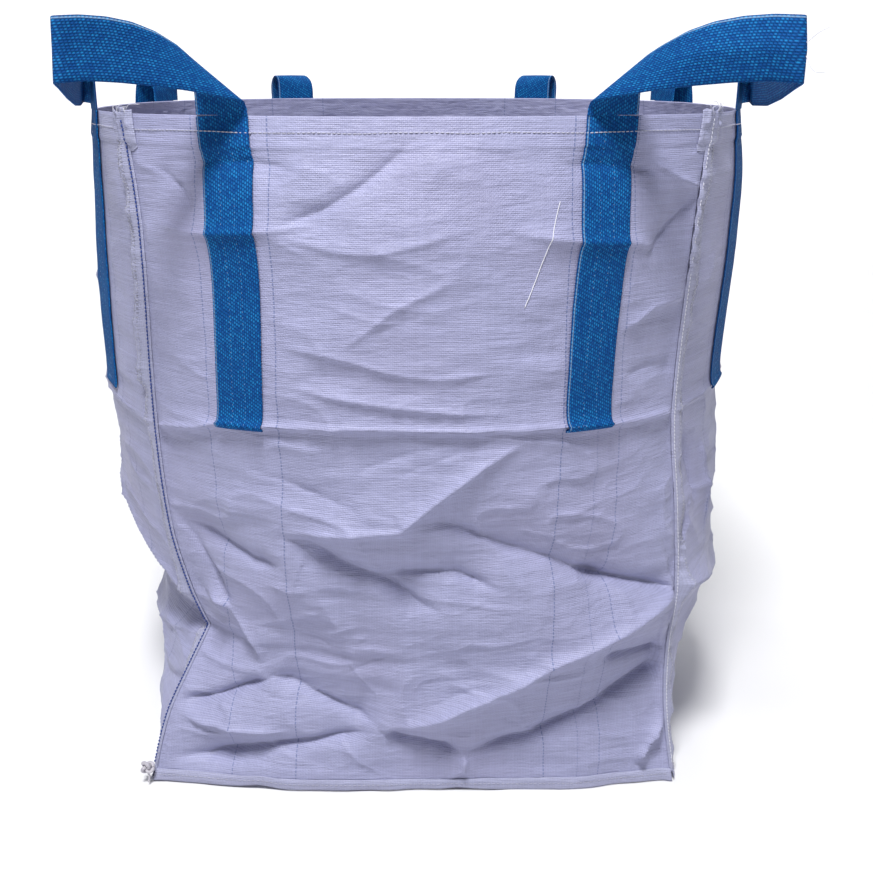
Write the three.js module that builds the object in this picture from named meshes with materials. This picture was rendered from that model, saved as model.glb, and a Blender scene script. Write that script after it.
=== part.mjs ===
// Bulk bag (FIBC) of woven polypropylene: four side panels and a base, sewn at the corners,
// with four cross-corner lifting loops of blue webbing.
// Units are millimetres, +Z is up, the front faces -Y and the origin is the centre of the base.
import * as THREE from "three";

// Driving dimensions.
const RIM = 1050; // height of the open rim
const CLOTH = 2; // thickness of the panel cloth
const CLEAR = 0.35; // free gap between pieces that lie on each other
const HEM = 40; // depth of the turned-in hem at the rim
const WEB = 2.5; // thickness of the webbing
const WEB_WIDTH = 76;
const LEG_FOOT = 626; // height of the cut lower ends of the webbing legs
const LEG_TOP = RIM - 1;
const PANEL_ARC = 845; // length of a panel along its curve, corner to corner
const LEG_PLACE = 0.185; // centre of a leg, as a share of the panel from its nearer corner
const LEG_HALF = WEB_WIDTH / 2 / PANEL_ARC;
const SEAM_EDGE = 2.2 / PANEL_ARC; // where a panel's own edge stops short of the corner line
const FLAP = 20 / PANEL_ARC; // how far the corner seam allowance reaches over a panel
const FLAP_THICK = 2.4;
const BASE_CLOTH = 2;
const WALL_FOOT = BASE_CLOTH + 0.3;
const FIN_TOP = 22; // height of the base seam allowance
const FIN_THREAD = 12; // height of its stitch line
const FIN_THICK = 3;
const HEM_THREAD = RIM - HEM / 2; // height of the hem's stitch line
const THREAD = 1.2;
const STUB_START = 5; // where the free part of a loop starts above the rim
const BULGE_POWER = 2.5;

const CLOTH_COLOUR = 0xc4c4da;
const SEAM_COLOUR = 0xd6d6e4;
const WEB_COLOUR = 0x2f5fa8;
const THREAD_WHITE = 0xeeeef2;
const THREAD_BLUE = 0x26386e;
const ROUGHNESS = { cloth: 0.62, seam: 0.65, webbing: 0.7, thread: 0.5 };

// The corner lines as [height, x, y]. The front left one is buckled inwards low down.
const CORNERS = {
  front_left: [
    [0, -428, -440], [110, -400, -412], [180, -366, -385], [247, -335, -362],
    [320, -356, -370], [430, -378, -382], [600, -387, -389], [900, -386, -392], [RIM, -398, -392],
  ],
  front_right: [
    [0, 424, -440], [120, 408, -416], [230, 406, -403], [330, 413, -398],
    [460, 404, -394], [620, 388, -391], [860, 396, -393], [RIM, 408, -394],
  ],
  back_right: [[0, 426, 438], [120, 404, 412], [320, 394, 398], [700, 390, 391], [RIM, 398, 396]],
  back_left: [[0, -428, 438], [120, -402, 410], [320, -392, 396], [700, -389, 390], [RIM, -398, 396]],
};

// How far the middle of a panel stands out from the line between its corners, by height.
const BULGE = [
  [0, 25], [60, 46], [110, 66], [250, 108], [400, 130], [600, 141], [800, 145], [950, 138], [RIM, 114],
];

// Each panel runs counterclockwise, seen from above, from its first corner to its second.
const SIDES = {
  front: ["front_left", "front_right"],
  right: ["front_right", "back_right"],
  back: ["back_right", "back_left"],
  left: ["back_left", "front_left"],
};

// Smooth curve through a list of [height, value, ...] rows.
function along(rows, z, column) {
  let i = 0;
  while (i < rows.length - 2 && z > rows[i + 1][0]) {
    i += 1;
  }
  const slope = (k) => {
    const a = rows[Math.max(k - 1, 0)];
    const b = rows[Math.min(k + 1, rows.length - 1)];
    return (b[column] - a[column]) / (b[0] - a[0]);
  };
  const [from, to] = [rows[i], rows[i + 1]];
  const step = to[0] - from[0];
  const t = THREE.MathUtils.clamp((z - from[0]) / step, 0, 1);
  const rise = to[column] - from[column];
  const bend = slope(i) * step - rise;
  const unbend = rise - slope(i + 1) * step;
  return from[column] + t * rise + t * (1 - t) * (bend * (1 - t) + unbend * t);
}

function corner(name, z) {
  return new THREE.Vector2(along(CORNERS[name], z, 1), along(CORNERS[name], z, 2));
}

// A point of a side's smooth outer surface, at a share of its width and a height.
function surface(side, share, z) {
  const first = corner(SIDES[side][0], z);
  const second = corner(SIDES[side][1], z);
  const chord = second.clone().sub(first);
  const outward = new THREE.Vector2(chord.y, -chord.x).normalize();
  const swell = 1 - Math.abs(2 * share - 1) ** BULGE_POWER;
  const place = first.addScaledVector(chord, share).addScaledVector(outward, along(BULGE, z, 1) * swell);
  return new THREE.Vector3(place.x, place.y, z);
}

// The level direction that points straight out of a side.
function outwardAt(side, share, z) {
  const across = surface(side, share + 0.002, z).sub(surface(side, share - 0.002, z));
  return new THREE.Vector3(across.y, -across.x, 0).normalize();
}

// The panels' facets. Every piece that lies on a panel uses the same lines, so it keeps its gap.
const HALF_SHARES = [
  SEAM_EDGE, FLAP, 0.08, LEG_PLACE - LEG_HALF, LEG_PLACE, LEG_PLACE + LEG_HALF, 0.32, 0.41,
];
const SHARES = [...HALF_SHARES, 0.5, ...HALF_SHARES.map((share) => 1 - share).reverse()];
const HEM_START = RIM - HEM;
const HEIGHTS = [
  WALL_FOOT, FIN_THREAD, FIN_TOP, 60, 110, 180, 247, 320, 400, 480, 550, LEG_FOOT, 720, 820, 920,
  HEM_START, HEM_START + 3, HEM_THREAD, RIM,
];

function bracket(values, value) {
  let i = 0;
  while (i < values.length - 2 && value > values[i + 1]) {
    i += 1;
  }
  return [values[i], values[i + 1], (value - values[i]) / (values[i + 1] - values[i])];
}

// A point on the facets of a side, moved outwards by a distance.
function onPanel(side, share, z, out) {
  const [left, right, s] = bracket(SHARES, share);
  const [low, high, t] = bracket(HEIGHTS, z);
  const at = (a, b) => surface(side, a, b).addScaledVector(outwardAt(side, a, b), out);
  const bottom = at(left, low).lerp(at(right, low), s);
  return bottom.lerp(at(left, high).lerp(at(right, high), s), t);
}

// A closed mesh from points and faces of three or four corners, turned to face outwards.
function closed(name, points, faces, colour, roughness) {
  const triangles = faces.flatMap((f) => (f.length === 4 ? [[f[0], f[1], f[2]], [f[0], f[2], f[3]]] : [f]));
  const edge = new THREE.Vector3();
  const volume = triangles.reduce(
    (sum, [a, b, c]) => sum + points[a].dot(edge.crossVectors(points[b], points[c])), 0);
  const turned = volume < 0 ? triangles.map(([a, b, c]) => [a, c, b]) : triangles;
  const geometry = new THREE.BufferGeometry().setFromPoints(points);
  geometry.setIndex(turned.flat());
  geometry.computeVertexNormals();
  const material = new THREE.MeshStandardMaterial({ color: colour, roughness, metalness: 0 });
  const mesh = new THREE.Mesh(geometry, material);
  mesh.name = name;
  return mesh;
}

// A slab between two grids of points with the same rows and columns.
function slab(name, inner, outer, colour, roughness) {
  const rows = inner.length;
  const columns = inner[0].length;
  const points = [...inner.flat(), ...outer.flat()];
  const half = rows * columns;
  const faces = [];
  const wall = (a, b) => faces.push([a, b, b + half, a + half]);
  for (let r = 0; r < rows - 1; r += 1) {
    for (let c = 0; c < columns - 1; c += 1) {
      const a = r * columns + c;
      faces.push([a, a + columns, a + columns + 1, a + 1]);
      faces.push([a + half, a + 1 + half, a + columns + 1 + half, a + columns + half]);
    }
    wall((r + 1) * columns, r * columns);
    wall(r * columns + columns - 1, (r + 1) * columns + columns - 1);
  }
  for (let c = 0; c < columns - 1; c += 1) {
    wall(c, c + 1);
    wall((rows - 1) * columns + c + 1, (rows - 1) * columns + c);
  }
  return closed(name, points, faces, colour, roughness);
}

// A body swept through rings of points, capped at both ends or joined into a loop.
function swept(name, rings, joined, colour, roughness) {
  const size = rings[0].length;
  const faces = [];
  const last = joined ? rings.length : rings.length - 1;
  for (let r = 0; r < last; r += 1) {
    const next = ((r + 1) % rings.length) * size;
    for (let k = 0; k < size; k += 1) {
      const m = (k + 1) % size;
      faces.push([r * size + k, r * size + m, next + m, next + k]);
    }
  }
  if (!joined) {
    const end = (rings.length - 1) * size;
    for (let k = 1; k < size - 1; k += 1) {
      faces.push([0, k + 1, k]);
      faces.push([end, end + k, end + k + 1]);
    }
  }
  return closed(name, rings.flat(), faces, colour, roughness);
}

function panel(side) {
  const depth = (z) => (z > HEM_START ? 2 * CLOTH : CLOTH);
  const inner = HEIGHTS.map((z) => SHARES.map((share) => onPanel(side, share, z, -depth(z))));
  const outer = HEIGHTS.map((z) => SHARES.map((share) => onPanel(side, share, z, 0)));
  return slab(`${side}_panel`, inner, outer, CLOTH_COLOUR, ROUGHNESS.cloth);
}

function basePanel() {
  const foot = (side) => SHARES.map((share) => onPanel(side, share, WALL_FOOT, 0));
  const outline = Object.keys(SIDES).flatMap(foot);
  const shape = new THREE.Shape(outline.map((point) => new THREE.Vector2(point.x, point.y)));
  const geometry = new THREE.ExtrudeGeometry(shape, { depth: BASE_CLOTH, bevelEnabled: false });
  const material = new THREE.MeshStandardMaterial({ color: CLOTH_COLOUR, roughness: ROUGHNESS.cloth });
  const mesh = new THREE.Mesh(geometry, material);
  mesh.name = "base_panel";
  return mesh;
}

// The turned-out allowance of the base seam, standing against the foot of a side.
function baseSeam(side) {
  const heights = [WALL_FOOT, FIN_THREAD, FIN_TOP];
  const layer = (out) => heights.map((z) => SHARES.map((share) => onPanel(side, share, z, out)));
  return slab(`${side}_base_seam`, layer(CLEAR), layer(CLEAR + FIN_THICK), SEAM_COLOUR, ROUGHNESS.seam);
}

// A line of thread at a constant height, which steps out over the webbing legs where there are any.
function threadAlong(name, side, z, base, overLegs, colour) {
  const ramp = 4 / PANEL_ARC;
  const end = 1.1 * FLAP;
  const raised = base + WEB + CLEAR;
  const stations = [];
  for (const share of [end, ...SHARES.filter((value) => value > end && value < 1 - end), 1 - end]) {
    const near = Math.min(share, 1 - share);
    const onLeg = overLegs && Math.abs(near - LEG_PLACE) < LEG_HALF * 1.01;
    const atEdge = onLeg && Math.abs(near - LEG_PLACE) > LEG_HALF * 0.5;
    const climbs = (near < LEG_PLACE) === (share < 0.5);
    if (atEdge && climbs) {
      stations.push([share - 1.2 * ramp, base], [share - 0.2 * ramp, raised]);
    } else if (atEdge) {
      stations.push([share + 0.2 * ramp, raised], [share + 1.2 * ramp, base]);
    } else {
      stations.push([share, onLeg ? raised : base]);
    }
  }
  const rings = stations.map(([share, out]) => [
    onPanel(side, share, z - THREAD / 2, out),
    onPanel(side, share, z + THREAD / 2, out),
    onPanel(side, share, z + THREAD / 2, out + THREAD),
    onPanel(side, share, z - THREAD / 2, out + THREAD),
  ]);
  return swept(name, rings, false, colour, ROUGHNESS.thread);
}

// The allowance of a corner seam: a narrow band that wraps the corner onto the side panels.
const FLAP_FOOT = FIN_TOP + 2;
const FLAP_HEIGHTS = [FLAP_FOOT, ...HEIGHTS.filter((z) => z > FLAP_FOOT && z < RIM), RIM - 1];

function sidesAt(cornerName) {
  const after = Object.keys(SIDES).find((side) => SIDES[side][0] === cornerName);
  const before = Object.keys(SIDES).find((side) => SIDES[side][1] === cornerName);
  return [before, after];
}

function cornerSeam(cornerName) {
  const [before, after] = sidesAt(cornerName);
  const across = (z, out) => [
    onPanel(before, 1 - FLAP, z, out),
    onPanel(before, 1 - SEAM_EDGE, z, out),
    onPanel(after, SEAM_EDGE, z, out),
    onPanel(after, FLAP, z, out),
  ];
  const inner = FLAP_HEIGHTS.map((z) => across(z, CLEAR));
  const outer = FLAP_HEIGHTS.map((z) => across(z, CLEAR + FLAP_THICK));
  return slab(`${cornerName}_corner_seam`, inner, outer, SEAM_COLOUR, ROUGHNESS.seam);
}

// The chain stitch that runs down a corner seam, on the half that lies on a side panel.
function cornerThread(cornerName) {
  const [before, after] = sidesAt(cornerName);
  const onFirst = before === "left" || before === "right";
  const place = (share, z, out) => (
    onFirst ? onPanel(before, 1 - share, z, out) : onPanel(after, share, z, out));
  const out = 3 * CLEAR + FLAP_THICK + 0.5;
  const middle = FLAP * 0.55;
  const half = THREAD / 2 / PANEL_ARC;
  const rings = FLAP_HEIGHTS.map((z) => [
    place(middle - half, z, out),
    place(middle + half, z, out),
    place(middle + half, z, out + THREAD),
    place(middle - half, z, out + THREAD),
  ]);
  const colour = cornerName === "front_left" ? THREAD_BLUE : THREAD_WHITE;
  return swept(`${cornerName}_corner_thread`, rings, false, colour, ROUGHNESS.thread);
}

// A leg is the sewn-down end of a lifting loop. Each side carries one near each of its corners.
const LEG_HEIGHTS = [...HEIGHTS.filter((z) => z >= LEG_FOOT && z < RIM), LEG_TOP];

function legShares(end) {
  const shares = [LEG_PLACE - LEG_HALF, LEG_PLACE, LEG_PLACE + LEG_HALF];
  return end === 0 ? shares : shares.map((share) => 1 - share).reverse();
}

function leg(side, end) {
  const layer = (out) => LEG_HEIGHTS.map((z) => legShares(end).map((share) => onPanel(side, share, z, out)));
  const name = `${SIDES[side][end]}_${side}_leg`;
  return slab(name, layer(CLEAR), layer(CLEAR + WEB), WEB_COLOUR, ROUGHNESS.webbing);
}

// The frame of stitches that holds a leg, below the hem's own stitch line.
function legStitch(side, end) {
  const [first, middle, last] = legShares(end);
  const inset = 8 / PANEL_ARC;
  const width = THREAD / PANEL_ARC;
  const low = LEG_FOOT + 8;
  const high = HEM_START + 3;
  const levels = [low, ...HEIGHTS.filter((z) => z > low && z < high), high];
  const out = 2 * CLEAR + WEB + 0.2;
  const ring = (share, z, inShare, inZ) => [
    onPanel(side, share, z, out),
    onPanel(side, inShare, inZ, out),
    onPanel(side, inShare, inZ, out + THREAD),
    onPanel(side, share, z, out + THREAD),
  ];
  const inZ = (z) => THREE.MathUtils.clamp(z, low + THREAD, high - THREAD);
  const up = levels.map((z) => ring(first + inset, z, first + inset + width, inZ(z)));
  const down = levels.map((z) => ring(last - inset, z, last - inset - width, inZ(z))).reverse();
  const across = (z) => ring(middle, z, middle, inZ(z));
  const rings = [...up, across(high), ...down, across(low)];
  return swept(`${SIDES[side][end]}_${side}_leg_stitches`, rings, true, THREAD_WHITE, ROUGHNESS.thread);
}

// The free part of a loop is drawn in the frame of its corner: s runs from the leg on the front or
// back panel to the leg on the left or right panel, o points out of the corner and z is measured
// from the rim.
function cornerFrame(cornerName) {
  const [before, after] = sidesAt(cornerName);
  const faceFirst = after === "front" || after === "back";
  const legPoint = (side, share) => onPanel(side, share, LEG_TOP, CLEAR + WEB / 2);
  const first = faceFirst ? legPoint(after, LEG_PLACE) : legPoint(before, 1 - LEG_PLACE);
  const second = faceFirst ? legPoint(before, 1 - LEG_PLACE) : legPoint(after, LEG_PLACE);
  const s = second.clone().sub(first).setZ(0).normalize();
  const o = new THREE.Vector3(s.y, -s.x, 0);
  if (o.dot(first) < 0) {
    o.negate();
  }
  const middle = first.clone().add(second).multiplyScalar(0.5).setZ(RIM);
  return { s, o, middle, half: first.distanceTo(second) / 2 };
}

// How far a leg's edges lie from its middle, along s and along o.
const EDGE_S = 34.7;
const EDGE_O = 15.3;
const FAR_FOLD = { front_left: 226, front_right: 252 }; // how far a raised loop stands out at its far fold
const FOLD_ROOT = 50; // up to here every raised loop has the same places along o

// A raised loop is folded once at a slant over each leg and once upright at its far end. A station
// holds the places of the strap's upper and lower edge as [s, o, z], with s measured from the nearer
// leg, and its share of rounding.
function raisedStations(half, cornerName) {
  const stretch = FAR_FOLD[cornerName] / FAR_FOLD.front_left;
  const far = [
    [[EDGE_S, EDGE_O, STUB_START], [-EDGE_S, -EDGE_O, STUB_START], 0],
    [[EDGE_S - 1.5, EDGE_O + 2, 30], [-EDGE_S, -EDGE_O, 10], 0],
    [[22, 25, 54], [-EDGE_S, -13, 14], 0],
    [[10, 37, 70], [-35, -12, 17], 0.3],
    [[3, 43, 73], [-38, -6, 19], 0.3],
    [[-1, 64, 87], [-31, 20, 24], 0],
    [[-2, 92, 101], [-19, 62, 32], 0],
    [[-2, 124, 111], [-10, 108, 38], 0],
    [[-1, 158, 116], [-4, 151, 42], 0],
    [[0, 192, 117], [0, 191, 44], 0],
    [[1, 221, 115], [1, 226, 42], 0.12],
    [[8, 223, 115], [8, 228, 42], 0.4],
    [[40, 200, 108], [40, 204, 35], 0],
    [[100, 158, 95], [100, 162, 22], 0],
    [[180, 104, 83], [180, 108, 11], 0],
  ];
  const near = [
    [[-86, 68, 77], [-50, 50, 8], 0],
    [[-60, 48, 75], [0, 20, 9], 0],
    [[-29, 27, 70], [38, -4, 11], 0.25],
    [[-EDGE_S, EDGE_O, 66], [EDGE_S, -EDGE_O, 9], 0.25],
    [[-EDGE_S, EDGE_O, 30], [EDGE_S, -EDGE_O, 7], 0],
    [[-EDGE_S, EDGE_O, STUB_START], [EDGE_S, -EDGE_O, STUB_START], 0],
  ];
  const drawn = (o) => (o > FOLD_ROOT ? o * stretch : o);
  const place = ([s, o, z], shift) => new THREE.Vector3(s + shift, drawn(o), z);
  const moved = (rows, shift) => rows.map(([a, b, turn]) => [place(a, shift), place(b, shift), turn]);
  return [...moved(far, -half), ...moved(near, half)];
}

// A loop that has fallen over the rim turns edge on to the bag on its way down and hangs as a bight.
// A row holds a place of its middle line as s, o and z, and the way of its width along s and along o.
function hangingStations(half) {
  const side = [
    [0, 0, STUB_START, 0.92, -0.39],
    [0, 0, 28, 0.92, -0.39],
    [0, 4, 41, 0.96, -0.25],
    [0, 18, 49, 1, -0.02],
    [0, 33, 44, 1, 0.1],
    [-1, 41, 28, 1, 0.15],
    [-1, 44, 4, 0.97, 0.25],
    [-3, 49, -30, 0.9, 0.45],
    [-9, 58, -64, 0.7, 0.7],
    [-21, 70, -96, 0.4, 0.9],
    [-42, 82, -125, 0.15, 1],
    [-74, 92, -146, 0.03, 1],
    [-112, 97, -157, 0, 1],
  ];
  const placed = side.map(([s, o, z, wide, out]) => {
    const reach = new THREE.Vector3(wide, out, 0).setLength(WEB_WIDTH / 2);
    const centre = new THREE.Vector3(s + half, o, z);
    return [centre.clone().sub(reach), centre.clone().add(reach), 0];
  });
  const flip = new THREE.Vector3(-1, 1, 1);
  const mirrored = placed.map(([a, b]) => [a.clone().multiply(flip), b.clone().multiply(flip), 0]);
  const lowest = new THREE.Vector3(0, 98, -160);
  const across = new THREE.Vector3(0, WEB_WIDTH / 2, 0);
  return [...mirrored, [lowest.clone().sub(across), lowest.clone().add(across), 0], ...placed.reverse()];
}

// Stations with every sharp turn replaced by a short curve.
function rounded(stations) {
  const steps = 4;
  return stations.flatMap(([upper, lower, turn], i) => {
    if (turn === 0) {
      return [[upper, lower]];
    }
    const curve = (edge) => {
      const point = stations[i][edge];
      const start = point.clone().lerp(stations[i - 1][edge], turn);
      const end = point.clone().lerp(stations[i + 1][edge], turn);
      return new THREE.QuadraticBezierCurve3(start, point, end).getPoints(steps);
    };
    const lows = curve(1);
    return curve(0).map((high, k) => [high, lows[k]]);
  });
}

function loop(cornerName, stationsOf) {
  const { s, o, middle, half } = cornerFrame(cornerName);
  const up = new THREE.Vector3(0, 0, 1);
  const world = ({ x, y, z }) => (
    middle.clone().addScaledVector(s, x).addScaledVector(o, y).addScaledVector(up, z));
  const edges = rounded(stationsOf(half, cornerName)).map(([high, low]) => [world(high), world(low)]);
  const centres = edges.map(([high, low]) => high.clone().lerp(low, 0.5));
  const layer = (out) => edges.map(([high, low], i) => {
    const before = centres[Math.max(i - 1, 0)];
    const after = centres[Math.min(i + 1, centres.length - 1)];
    const reach = low.clone().sub(high);
    const normal = after.clone().sub(before).cross(reach).setLength(out);
    return [0, 0.5, 1].map((share) => high.clone().addScaledVector(reach, share).add(normal));
  });
  return slab(`${cornerName}_loop`, layer(-WEB / 2), layer(WEB / 2), WEB_COLOUR, ROUGHNESS.webbing);
}

// The knotted end of the cord that is sewn into the front left corner seam.
function cordKnot() {
  const geometry = new THREE.TorusKnotGeometry(7.5, 2.9, 40, 7, 2, 3);
  const material = new THREE.MeshStandardMaterial({ color: THREAD_WHITE, roughness: ROUGHNESS.thread });
  const mesh = new THREE.Mesh(geometry, material);
  mesh.name = "corner_cord_knot";
  const foot = corner("front_left", 30);
  mesh.position.set(foot.x - 14, foot.y - 14, 30);
  mesh.rotation.set(0.9, 0.4, 0);
  return mesh;
}

const bag = new THREE.Group();
bag.name = "bulk_bag";
bag.add(basePanel());
for (const side of Object.keys(SIDES)) {
  const finFace = 2 * CLEAR + FIN_THICK;
  bag.add(panel(side));
  bag.add(baseSeam(side));
  bag.add(threadAlong(`${side}_base_thread`, side, FIN_THREAD, finFace, false, THREAD_WHITE));
  bag.add(threadAlong(`${side}_hem_thread`, side, HEM_THREAD, CLEAR, true, THREAD_WHITE));
  for (const end of [0, 1]) {
    bag.add(leg(side, end));
    bag.add(legStitch(side, end));
  }
}
for (const name of Object.keys(CORNERS)) {
  bag.add(cornerSeam(name));
  bag.add(cornerThread(name));
  bag.add(loop(name, name.startsWith("front") ? raisedStations : hangingStations));
}
bag.add(cordKnot());

export default bag;
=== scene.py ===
"""Bulk bag of woven polypropylene with four cross-corner lifting loops of blue webbing.

Lengths are in metres. The front panel faces -Y and the bag stands on z = 0.
"""

import functools
import math

import bpy
import numpy as np
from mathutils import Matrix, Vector


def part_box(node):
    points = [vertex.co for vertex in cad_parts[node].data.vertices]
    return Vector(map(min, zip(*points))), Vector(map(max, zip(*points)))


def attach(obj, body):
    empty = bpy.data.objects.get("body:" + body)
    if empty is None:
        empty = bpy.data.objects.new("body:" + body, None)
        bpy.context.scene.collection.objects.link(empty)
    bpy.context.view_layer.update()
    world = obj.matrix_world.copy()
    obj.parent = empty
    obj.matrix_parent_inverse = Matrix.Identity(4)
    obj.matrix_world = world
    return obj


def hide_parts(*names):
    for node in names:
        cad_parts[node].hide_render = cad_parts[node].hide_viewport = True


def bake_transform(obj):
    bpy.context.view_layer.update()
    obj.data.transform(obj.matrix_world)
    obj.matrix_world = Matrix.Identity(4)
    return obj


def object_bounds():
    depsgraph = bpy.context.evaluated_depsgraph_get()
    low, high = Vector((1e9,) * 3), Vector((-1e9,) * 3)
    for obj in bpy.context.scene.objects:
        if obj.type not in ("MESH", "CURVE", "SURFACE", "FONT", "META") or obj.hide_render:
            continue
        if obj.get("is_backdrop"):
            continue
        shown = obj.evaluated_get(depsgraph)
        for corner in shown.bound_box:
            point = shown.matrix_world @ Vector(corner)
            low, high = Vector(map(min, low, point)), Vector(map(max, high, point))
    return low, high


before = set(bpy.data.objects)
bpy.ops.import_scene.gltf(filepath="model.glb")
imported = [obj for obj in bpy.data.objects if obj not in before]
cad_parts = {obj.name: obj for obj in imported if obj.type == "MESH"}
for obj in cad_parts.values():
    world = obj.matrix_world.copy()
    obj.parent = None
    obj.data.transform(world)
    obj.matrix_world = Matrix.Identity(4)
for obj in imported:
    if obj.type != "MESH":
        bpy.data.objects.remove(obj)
cad_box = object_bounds()
scene = bpy.context.scene

# ---------------------------------------------------------------- driving dimensions
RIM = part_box("front_panel")[1][2]
HEM = 0.040
LEG_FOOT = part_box("front_left_front_leg")[0][2]
LEG_PLACE = 0.185  # share of the panel from its corner to the middle of the leg
WEB_WIDTH = 0.076
WEB = 0.0022
LEG_LIFT = WEB / 2 + 0.0010
CLOTH = 0.0007
PANEL_WIDTH = 0.845
BULGE_POWER = 2.5
FIN_TOP = 0.022
WARP_PITCH = 0.0027
WEFT_PITCH = 0.0025
EDGE_S, EDGE_O = 0.0347, 0.0153  # from the middle to the edge of a front loop at its legs
FAR_FOLD = {"front_left": 0.226, "front_right": 0.252}  # from the corner chord to the loop's far fold

# The corner lines as (height, x, y), the same buckled lines as the CAD corners.
CORNERS = {
    "front_left": [(0, -.428, -.440), (.110, -.400, -.412), (.180, -.367, -.386), (.236, -.3385, -.3645),
        (.247, -.334, -.361), (.258, -.338, -.3635), (.320, -.357, -.371), (.430, -.378, -.382),
        (.600, -.387, -.389), (.900, -.386, -.392), (1.05, -.398, -.392)],
    "front_right": [(0, .424, -.440), (.120, .408, -.416), (.230, .406, -.403), (.330, .413, -.398),
        (.460, .404, -.394), (.620, .388, -.391), (.860, .396, -.393), (1.05, .408, -.394)],
    "back_right": [(0, .426, .438), (.120, .404, .412), (.320, .394, .398), (.700, .390, .391),
        (1.05, .398, .396)],
    "back_left": [(0, -.428, .438), (.120, -.402, .410), (.320, -.392, .396), (.700, -.389, .390),
        (1.05, -.398, .396)],
}
BULGE = [(0, .025), (.060, .046), (.110, .066), (.250, .108), (.400, .130), (.600, .141), (.800, .145),
         (.950, .138), (1.05, .114)]
SIDES = {
    "front": ("front_left", "front_right"),
    "right": ("front_right", "back_right"),
    "back": ("back_right", "back_left"),
    "left": ("back_left", "front_left"),
}

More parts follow.
